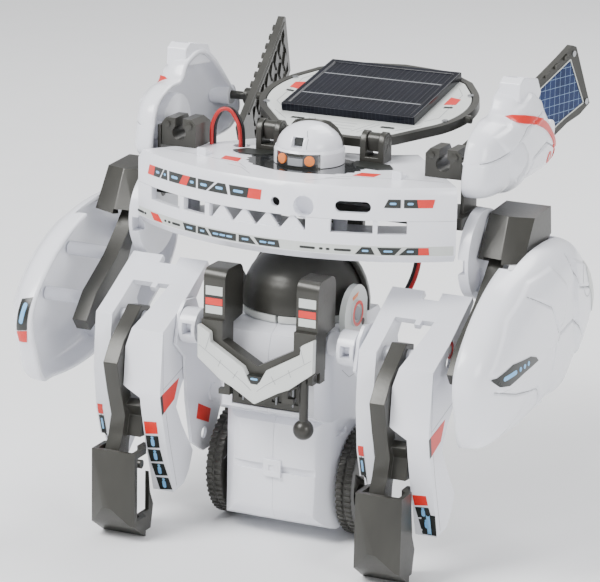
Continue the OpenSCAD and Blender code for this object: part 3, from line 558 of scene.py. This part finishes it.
# Outlines, grooves and raised plates of the shells, in y, z
ARM_OUTLINE = [(-53, 73), (-50.4, 62), (-46, 51.6), (-38, 50.6), (-20, 50), (4, 52.4), (22, 52), (34, 59),
               (47, 68), (54, 80), (46, 92.6), (30, 102.4), (6, 104.6), (-18, 101), (-36, 93), (-49, 82)]
ARM_GROOVES = [[(-44, 70), (-30, 66), (-12, 63)], [(-12, 63), (-4, 54)],
               [(-20, 95), (-4, 88), (4, 76), (2, 66)], [(4, 76), (20, 78), (30, 70)],
               [(18, 100), (24, 88), (40, 84)]]
ARM_PLATES = [[(-47, 77), (-34, 91), (-16, 99), (2, 100), (12, 92), (8, 80), (-8, 72), (-26, 69),
               (-42, 69)],
              [(22, 98), (40, 92), (50, 82), (44, 70), (32, 62), (24, 70), (20, 84)]]
POD_PLATES = [[(4, 139), (14, 141), (24, 146), (34, 149), (43, 145), (40, 139), (26, 136), (10, 133)]]
POD_OUTLINE = [(-3, 122.4), (3, 118.8), (20, 118.7), (44, 118.3), (60, 119.8), (66, 127), (57, 136.4),
               (44, 147.6), (34, 151.4), (24, 149), (19, 143.6), (10, 142.4), (1, 138), (-2.4, 130)]
POD_GROOVES = [[(-2, 131), (12, 133), (26, 139), (46, 143)], [(30, 119), (33, 127), (46, 130), (63, 124)]]


# Thin strips along the grooves, coloured grey as painted shadow in them.
def seam_strips(grooves):
    return [piece for line in grooves for piece in strips(line, 0.3)]


def make_arm_shell(name, side):
    body = "forearm_" + name
    mesh = dish_mesh("arm_cover_" + name, side, ARM_OUTLINE, ARM_CENTRE, ARM_RIM, ARM_DEPTH, ARM_SKIN,
                     ARM_GROOVES, ARM_PLATES)
    mesh = combine(mesh, solid_mesh([(side * 60, side * 78.4, disc(6, 102, 21, 64))]), "DIFFERENCE")
    cover = link("arm_cover_" + name, mesh, body, "white", True)
    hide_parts("arm_shell_" + name)
    tree = tree_of(mesh)
    fittings = [(side * 69.8, side * 85.4, disc(*stud, 2.4)) for stud in ((-22, 74.4), (-6, 86.4))]
    fittings += [(side * 77, side * 84, disc(y, z, 3.2)) for y, z in ((30, 84), (16, 62))]
    fittings.append((side * 73, side * 83, [(-1, 52.6), (6, 52.6), (6, 57.6), (-1, 57.6)]))
    bosses = link("arm_bosses_" + name, solid_mesh(fittings), body, "white")
    round_edges(bosses, 0.3)
    outside = onto(tree, lambda u, v: at(side * 110, u, v), (-side, 0, 0))
    # Painted shadow: grey strips sunk into the grooves stand in for the shade in them.
    layer("arm_seam_shade_" + name, body, "line", seam_strips(ARM_GROOVES), outside, -0.1, 0.06, 1)
    if side > 0:
        patch = [(-46.5, 74.6), (-43, 71.8), (-38, 71), (-28.6, 72.8), (-17, 74), (-19, 75.6), (-23, 76.8),
                 (-36, 77.4)]
        marks = [pill((-41, 74), (-34.6, 74.6), 1.5)]
        marks += [disc(-31.4 + 3 * i, 74.8 + 0.2 * i, 0.8, 12) for i in range(3)]
        where = outside
    else:
        patch = [(-75, 81), (-79, 80), (-80.4, 69.4), (-75.8, 70.4)]
        marks = [pill((-77, 78.4), (-78, 73), 1.6)]
        where = onto(tree, lambda u, v: at(u, -90, v), (0, 1, 0))
        tip = [(-75.8, 70), (-80.4, 69), (-79.8, 65.4), (-76.4, 65.8)]
        layer("arm_tip_" + name, body, "red", [tip], where, 0.05, 0.3, 0.7)
    layer("arm_sticker_" + name, body, "ink", [patch], where, 0.05, 0.3, 0.7)
    layer("arm_marks_" + name, body, "blue", marks, where, 0.31, 0.37, 0.7)
    # Painted shadow: a thin grey ring round the stud stands in for the shade in its groove.
    ring("arm_ring_shade_" + name, body, "line", (34, 88), 5.3, 5.6, outside, -0.1, 0.06)
    layer("arm_oval_" + name, body, "pale", [pill((43, 78), (38.5, 90), 6, 10)], outside, 0.02, 0.4, 2)


def make_pod(name, side):
    body = "pod_" + name
    mesh = dish_mesh("pod_cover_" + name, side, POD_OUTLINE, POD_CENTRE, POD_RIM, POD_DEPTH, POD_SKIN,
                     POD_GROOVES, POD_PLATES)
    cover = link("pod_cover_" + name, mesh, body, "white", True)
    tree = tree_of(mesh)
    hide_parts("pod_" + name)
    hook = [(24.6, 147), (25, 153), (28, 154.6), (42, 152), (45.6, 147), (44, 145)]
    pins = solid_mesh([(side * 51, side * 57, disc(9, 127.5, 1.8)),
                       (side * 56.2, side * 64.8, disc(9, 127.5, 3.4)), (side * 57, side * 64.4, hook)])
    socket = solid_mesh([(side * 56.2, side * 63.6, disc(60, 131, 3.6))])
    bore = solid_mesh([(side * 55, side * 61, disc(60, 131, 1.56))])
    socket = combine(socket, bore, "DIFFERENCE")
    slot = solid_mesh([(side * 58.4, side * 62.8, [(28, 149), (38.6, 149), (38.6, 160), (28, 160)])])
    fittings = link("pod_fittings_" + name, combine(pins, slot, "DIFFERENCE"), body, "white")
    round_edges(fittings, 0.4)
    round_edges(link("pod_socket_" + name, socket, body, "white"), 0.2)
    make_boss(name, side, body)
    outside = onto(tree, lambda u, v: at(side * 110, u, v), (-side, 0, 0))
    # Painted shadow: grey strips sunk into the grooves stand in for the shade in them.
    layer("pod_seam_shade_" + name, body, "line", seam_strips(POD_GROOVES), outside, -0.1, 0.06, 1)
    stripe = closed_curve([(20, 141.4), (33, 138.4), (46, 133.8), (55, 127), (59, 119.6), (61.6, 120.4),
                           (57.4, 128.4), (47.6, 136), (34, 140.8), (21, 143.6)], 3)
    layer("pod_stripe_" + name, body, "red", [[tuple(p) for p in stripe]], outside, 0.04, 0.34, 0.6)
    ring("pod_ring_" + name, body, "red", (50, 124), 1.1, 2.1, outside, 0.04, 0.24)
    layer("pod_screw_" + name, body, "pale", [disc(50, 124, 1.1, 16)], outside, 0.02, 0.14)


def make_boss(name, side, body):
    """The round knuckle low on a pod's front, with a slot across it."""
    mesh = bpy.data.meshes.new("boss")
    made = bmesh.new()
    bmesh.ops.create_uvsphere(made, u_segments=64, v_segments=40, radius=KNUCKLE_R * MM)
    for vert in made.verts:
        vert.co += at(side * KNUCKLE_X, *KNUCKLE_YZ)
    made.to_mesh(mesh)
    made.free()
    block = solid_mesh([(side * 57.2, side * 75, [(0, 110), (40, 110), (40, 150), (0, 150)])])
    mesh = combine(mesh, block, "INTERSECT")
    slot = [(13.6, 123.6), (15, 122.2), (24.4, 132.4), (23, 133.8)]
    mesh = combine(mesh, solid_mesh([(side * 67.8, side * 72, slot)]), "DIFFERENCE")
    link("pod_boss_" + name, mesh, body, "white", True)


def round_edges(piece, width, angle=35):
    edges = piece.modifiers.new("edges", "BEVEL")
    edges.width = width * MM
    edges.segments = 3
    edges.limit_method = "ANGLE"
    edges.angle_limit = math.radians(angle)


# ---- Stickers, and lines painted as seam shadow ----

def cells_row(name, body, cells, low, high, place, step=None, lift=0.0):
    """A row of sticker cells: (kind, low left, low right, high left, high right)."""
    for finish in ("ink", "red"):
        outlines = [[(a, low), (b, low), (d, high), (c, high)]
                    for kind, a, b, c, d in cells if kind == finish]
        if outlines:
            layer(name + "_" + finish, body, finish, outlines, place, lift + 0.02, lift + 0.1, step)
    marks = []
    middle = (low + high) / 2
    for kind, a, b, c, d in cells:
        if kind != "ink":
            continue
        left, right = (a + c) / 2 + 1.1, (b + d) / 2 - 1.1
        count = max(1, int((right - left) / 2.4))
        for i in range(count):
            start = left + (right - left) * (i + 0.15) / count
            end = left + (right - left) * (i + 0.75) / count
            marks.append(pill((start, middle), (max(end, start + 0.1), middle), (high - low) * 0.26))
    layer(name + "_marks", body, "blue", marks, place, lift + 0.11, lift + 0.15, step)


def make_hull_stickers():
    upper = [("red", -51.6, -48.4, -50.6, -47.6), ("ink", -48.4, -45.4, -47.6, -43.4),
             ("ink", -44.8, -41.4, -42.8, -41.6), ("ink", -40.6, -36, -40.6, -34),
             ("red", -36, -32.6, -34, -31), ("ink", -32.6, -28.4, -31, -28.4),
             ("ink", -27.6, -24.2, -27.6, -20.6), ("ink", -23.4, -15.4, -19.4, -16.4),
             ("ink", -14.4, -8, -15, -7.4), ("red", -8, -3.2, -7.4, -2.8)]
    cells_row("hull_row_left", "chassis", upper, 117.9, 121.3, on_hull, 1.6)
    right = [("ink", 36.7, 41.6, 38, 41.6), ("ink", 42.5, 46.6, 42.5, 46.2),
             ("red", 46.6, 50.6, 46.2, 51.2)]
    cells_row("hull_row_right", "chassis", right, 118.4, 121.2, on_hull, 1.6)
    lower = [("red", -48, -43.6, -50, -46), ("ink", -33, -28.2, -34, -28.2),
             ("ink", -27.4, -22.4, -27.4, -24.4), ("ink", -21.4, -12, -23.2, -12),
             ("ink", -11, -4.6, -11, -7), ("ink", -3.4, 4, -5.4, 3.4), ("ink", 28.4, 34.4, 30.4, 33.2),
             ("ink", 36.4, 40.2, 35, 42.2), ("ink", 41.4, 47, 43.8, 47), ("red", 47, 50, 47, 49.8)]
    cells_row("hull_row_low", "chassis", lower, 102.9, 105.3, on_hull, 1.6)
    spans = ((-57, 3), (-53, 0.4), (-42.4, 0.3), (-40.6, 0.5), (-38.6, 3), (11, 4.4), (17.4, 0.5),
             (19.6, 0.5), (22.2, 4.6))
    dashes = [pill((x, 104), (x + w, 104), 0.8) for x, w in spans]
    layer("hull_dashes", "chassis", "ink", dashes, on_hull, 0.02, 0.08, 1.6)
    layer("hull_band", "chassis", "foil", [[(-56.6, 102.6), (56.6, 102.6), (56.6, 105.7), (-56.6, 105.7)]],
          on_hull, 0.004, 0.015, 1.6)


def make_deck_details():
    deck = on_top(DECK_Z)
    teeth = []
    for i in range(56):
        angle = 2 * math.pi * i / 56
        ragged = 1.3 if i % 2 and abs(math.sin(angle)) < 0.8 else 0
        teeth.append(((19.4 + ragged) * math.cos(angle), -1 + (13.6 + ragged * 0.4) * math.sin(angle)))
    layer("deck_gloss", "chassis", "gloss", [teeth[::-1]], deck, 0.02, 0.1)
    for name, side in SIDES.items():
        patch = [(side * 20.6, -9.6), (side * 27.4, -8.2), (side * 28, -3.6), (side * 21.6, -4.6)]
        layer("deck_mark_" + name, "chassis", "red", [patch], deck, 0.02, 0.12)
        plate = [(side * 13.4, 6.4), (side * 17, 1.6), (side * 25, 1.2), (side * 29, 4.2),
                 (side * 26, 8.8), (side * 14, 9.4)]
        layer("deck_plate_" + name, "chassis", "ink", [plate], deck, 0.1, 0.5)
        # Painted shadow: thin grey strips stand in for the shade in the deck's seams.
        seams = strips([(side * 14, -17), (side * 19, -11.6), (side * 40, -5.6), (side * 50, -4)], 0.22)
        seams += strips([(side * 10, -23), (side * 16, -16.4), (side * 22, -14)], 0.22)
        layer("deck_seam_shade_" + name, "chassis", "line", seams, deck, 0.01, 0.05)
        hook_side = [(-7.4, 126.2), (-6.5, 127.1), (-6.5, 127.15), (-7.4, 127.1)]
        hook = solid_mesh([(side * 33.6, side * 36.4, hook_side)])
        link("deck_hook_" + name, hook, "chassis", "white")


def make_head_details():
    """The white cheeks, the dark mask with its grey window, and a grey line painted as the shadow in the
    seam of the head.
    """
    def round_head(radius):
        def place(u, v, h):
            angle = math.radians(u)
            out = radius + h - 0.65 * max(0, v - 129.6)
            return at(out * math.sin(angle), 2 - out * math.cos(angle), v)
        return place
    hood = [[(a, 124.9), (b, 124.9), (b, 130.3), (a, 130.3)] for a, b in ((42, 122), (-122, -42))]
    hood.append([(-42, 129.5), (42, 129.5), (42, 130.3), (-42, 130.3)])
    layer("head_hood", "head", "white", hood, round_head(11.4), 0.02, 0.35, 1.2)
    mask = [(-42, 125.2), (42, 125.2), (42, 128.8), (37, 129.5), (17, 129.5), (13, 128.6), (-13, 128.6),
            (-17, 129.5), (-37, 129.5), (-42, 128.8)]
    layer("head_mask", "head", "gloss", [mask], round_head(11.4), 0.03, 0.3, 4)
    layer("head_window", "head", "line", [[(-13, 125.5), (13, 125.5), (13, 128), (-13, 128)]],
          round_head(11.4), 0.31, 0.38, 4)
    dome = onto(tree_of(nodes["head_shell"].data), lambda u, v: at(u, -30, v), (0, 1, 0))
    badge = [(-1.7, 131.5), (1.7, 131.5), (1.7, 133.7), (1.2, 134.3), (-1.2, 134.3), (-1.7, 133.7)]
    layer("head_badge", "head", "ink", [badge], on_front(-6.3), 0.02, 0.12)
    # Painted shadow: a thin grey line stands in for the shade in the dome's seam.
    seam = strips([(3.4, 131), (3.4, 134), (2, 136.4)], 0.18)
    layer("head_seam_shade", "head", "line", seam, dome, 0.01, 0.05, 0.8)


def make_chest_details():
    front = on_front(-38.4)
    # Painted shadow: thin grey lines stand in for the shade in the chest's panel lines.
    lines = []
    for s in (1, -1):
        lines += strips([(s * 20, 69.5), (s * 14.6, 66), (s * 4, 59), (s * 1, 56.6)], 0.16)
        lines += strips([(s * 12, 65.4), (s * 13, 63)], 0.16)
        lines += strips([(s * 16, 73.6), (s * 17.6, 68.2)], 0.16)
        lines += strips([(s * 6, 62.4), (s * 7.6, 59.8)], 0.16)
    layer("chest_line_shade", "chassis", "line", lines, front, 0.01, 0.05)
    badge = [(-2.6, 61.6), (-1.2, 58.9), (1.2, 58.9), (2.6, 61.6)]
    layer("chest_badge", "chassis", "ink", [badge], front, -2.4, 0.1)
    layer("chest_mark", "chassis", "blue", [pill((-0.9, 60.6), (0.9, 60.6), 0.7)], front, 0.11, 0.15)
    pillar = on_front(-34.5)
    stripes = (("foil", 79.4, 82), ("red", 82.3, 84.6), ("ink", 84.8, 85.4), ("foil", 85.6, 88.6))
    for name, s in SIDES.items():
        a, b = sorted((s * 13.6, s * 19.6))
        for finish, low, high in stripes:
            layer("pillar_" + finish + "_" + str(int(low)) + "_" + name, "chassis", finish,
                  [[(a, low), (b, low), (b, high), (a, high)]], pillar, 0.02, 0.1)
    belly = [pill((-9 + 6 * i, 49.4), (-9 + 6 * i, 60), 0.5) for i in range(4)]
    layer("belly_ribs", "chassis", "line", belly, on_front(-26.9), 0.05, 0.6)


def make_leg_stickers(name, side):
    body = "leg_" + name
    shift = 0 if side > 0 else -LEG_PITCH
    tree = tree_of(nodes["leg_shell_" + name].data)
    outer = on_side(LEG_FACE_X + shift, 1)
    hub = on_side(HUB_FACE_X + shift, 1)
    patch = [(-38.8, 50.4), (-37.6, 43.8), (-30, 46.6), (-26.8, 53)]
    layer("leg_patch_" + name, body, "red", [patch], outer, 0.02, 0.1)
    border = [(-40.4, 50), (-39, 43.4), (-37.6, 43.8), (-38.8, 50.4)]
    layer("leg_patch_edge_" + name, body, "ink", [border], outer, 0.03, 0.12)
    front = onto(tree, lambda u, v: at(u + shift, -90, v), (0, 1, 0))
    top = 28.8 if side > 0 else 40
    pitch = 4.4 if side > 0 else 5.3

    def edge(z):
        return max(54.8, 52.6 + (40 - z) * 0.17)

    cells = []
    for i in range(4 if side > 0 else 5):
        high = top - pitch * i
        low = high - pitch + 0.6
        cells.append([(edge(low), low), (edge(low) + 4.7, low + 0.7), (edge(high) + 4.7, high + 0.4),
                      (edge(high), high)])
    layer("leg_row_red_" + name, body, "red", cells[:1], front, 0.03, 0.13, 1.4)
    layer("leg_row_ink_" + name, body, "ink", cells[1:], front, 0.03, 0.13, 1.4)
    marks = []
    for cell in cells[1:]:
        u = sum(p[0] for p in cell) / 4
        v = sum(p[1] for p in cell) / 4
        marks += [pill((u, v - pitch * 0.2), (u, v + pitch * 0.1), 1.3), disc(u, v + pitch * 0.3, 0.5, 10)]
    layer("leg_row_marks_" + name, body, "blue", marks, front, 0.14, 0.18)
    for finish, a, b in (("red", 38, 41.6), ("ink", 31, 37.4), ("ink", 26.8, 30.4)):
        layer("leg_inner_" + finish + str(int(a)) + "_" + name, body, finish,
              [[(34.5, a), (36.4, a), (36.4, b), (34.5, b)]], front, 0.03, 0.13, 1.4)
    layer("leg_inner_marks_" + name, body, "blue", [pill((35.4, 32.4), (35.4, 36), 0.7)], front, 0.14, 0.18)
    # Painted shadow: thin grey lines stand in for the shade in the leg's creases.
    crease_shadow = strips([(-38.6, 71), (-38.2, 52), (-33.5, 34), (-27.5, 15.5)], 0.2)
    crease_shadow += strips([(-38, 52), (-20, 57)], 0.2)
    layer("leg_crease_shade_" + name, body, "line", crease_shadow, outer, 0.005, 0.04)
    ring("leg_ring_" + name, body, "red", HUB_CENTRE, 1.5, 2.9, hub, 0.02, 0.12)
    layer("leg_hub_" + name, body, "foil", [disc(*HUB_CENTRE, 1.2, 20)], hub, 0.02, 0.12)
    if side < 0:
        flag = [(-14.6, 41), (-5, 36.4), (-6.6, 32), (-16, 36)]
        layer("hub_flag_" + name, body, "red", [flag], on_side(-31.6, 1), 0.02, 0.1)


def make_ear_details():
    for name, s in SIDES.items():
        side = on_side(s * 23.6, s)
        ring("ear_ring_" + name, "chassis", "red", EAR_CENTRE, 3.2, 4.3, side, 0.01, 0.1)
        core = on_side(s * 23.1, s)
        layer("ear_core_" + name, "chassis", "line", [disc(*EAR_CENTRE, 2.3)], core, 0.01, 0.4)
        plate = on_side(s * 22.9, s)
        mark = [(-12.6, 84.6), (-7.6, 85.6), (-8.4, 84.2), (-12.2, 83.4)]
        layer("ear_mark_" + name, "chassis", "orange", [mark], plate, 0.02, 0.1)
        layer("ear_dot_" + name, "chassis", "ink", [disc(-3.4, 74.4, 1.2, 16)], plate, 0.02, 0.12)


def make_panel_details():
    # The lines gathered here are painted shadow: thin grey strips stand in for the shade in the panel's
    # grooves and seams.
    lines = []
    for name, s in SIDES.items():
        lines += strips([(s * 6, 9), (s * 11, 17.4)], 0.2) + strips([(s * 8, 8.6), (s * 13, 17)], 0.2)
        lines += strips([(s * 26.4, 24), (s * 30, 28), (s * 30, 50), (s * 26.4, 56)], 0.2)
        lines += strips([(s * 20, 13.4), (s * 27, 20)], 0.2)
        red = [(s * 27, 40), (s * 31, 41), (s * 31, 46), (s * 27, 47)]
        layer("panel_mark_" + name, "panel", "red", [red], on_panel, 0.02, 0.1)
        tick = [(s * 28, 37), (s * 31, 37.6), (s * 31, 38.8), (s * 28, 38.4)]
        layer("panel_tick_" + name, "panel", "ink", [tick], on_panel, 0.02, 0.1)
    lines += [strip((-5.6, z), (5.6, z), 0.2) for z in (10.6, 13, 15.4)]
    layer("panel_line_shade", "panel", "line", lines, on_panel, 0.01, 0.05)
    slots = [pill((s * 14.5, 15.4), (s * 18.4, 15.4), 1) for s in (1, -1)]
    layer("panel_slots", "panel", "ink", slots, on_panel, 0.02, 0.06)

    def on_cell(u, v, h):
        return on_panel(u, v, h + CELL_LIFT)

    ribs = [strip((-22 + 2.2 * i, 22.2), (-22 + 2.2 * i, 61), 0.22) for i in range(21)]
    layer("cell_fingers", "panel", "finger", ribs, on_cell, 0.02, 0.05)
    buses = [strip((-22, v), (22, v), 0.5) for v in (32, 51)]
    layer("cell_buses", "panel", "line", buses, on_cell, 0.03, 0.07)
    screws = [disc(u, v, 1.1, 16) for u, v in ((33, 26), (33, 50), (-33, 26), (-33, 50))]
    layer("panel_screws", "panel", "steel", screws, on_panel, 0.02, 0.4)


def make_wing_details(name, side):
    body = "wing_" + name
    place = on_wing(side)
    inner = on_wing(side, False)
    edge = [(44, 140), (64.6, 148.2), (74.6, 131.4), (62, 127.6), (48.6, 122.6), (44, 140)]
    layer("wing_edge_" + name, body, "foil", strips(edge, 0.5), place, 0.02, 0.14)
    screws = [disc(u, v, 1.1, 16) for u, v in ((41, 138), (66.6, 150), (76.4, 131.6), (42, 121))]
    layer("wing_screws_" + name, body, "steel", screws, place, 0.02, 0.4)
    ribs = strips([(8, 128.6), (40, 140), (65.6, 150.8)], 0.7)
    ribs += strips([(12, 116.6), (37, 116.6), (63, 126.8)], 0.7)
    layer("wing_ribs_" + name, body, "dark", ribs, inner, 0.0, 0.5)
    teeth = []
    for i in range(8):
        u = 18 + 6 * i
        v = 133.8 + (u - 18) * 0.385
        teeth.append([(u, v - 1.4), (u + 2.6, v - 0.4), (u + 2.2, v + 0.5), (u + 0.4, v - 0.2)])
    layer("wing_nubs_" + name, body, "dark", teeth, place, 0.0, 0.9)


def make_case_details():
    for name, s in SIDES.items():
        side = on_side(s * CASE_HALF, s)
        # Painted shadow: thin grey lines stand in for the shade in the case's panel lines.
        lines = strips([(-18, 24), (-12, 26), (12, 26), (18, 22)], 0.2)
        layer("case_line_shade_" + name, "chassis", "line", lines, side, 0.005, 0.04)
        ring("axle_boss_" + name, "chassis", "pale", (0, 19), 1.5, 3, side, 0.0, 0.5)
    # Painted shadow: thin grey lines stand in for the shade in the torso's panel lines.
    lines = strips([(-14, 60), (-8, 56), (8, 56), (14, 60)], 0.2)
    layer("torso_line_shade", "chassis", "line", lines, on_side(TORSO_HALF, 1), 0.005, 0.04)


set_camera()
finishes = make_materials()
make_leads()
set_stage()
finish_nodes(finishes)
for side_name, side_sign in SIDES.items():
    make_arm_shell(side_name, side_sign)
    make_pod(side_name, side_sign)
    make_leg_stickers(side_name, side_sign)
    make_wing_details(side_name, side_sign)
make_hull_stickers()
make_deck_details()
make_head_details()
make_chest_details()
make_ear_details()
make_panel_details()
make_case_details()
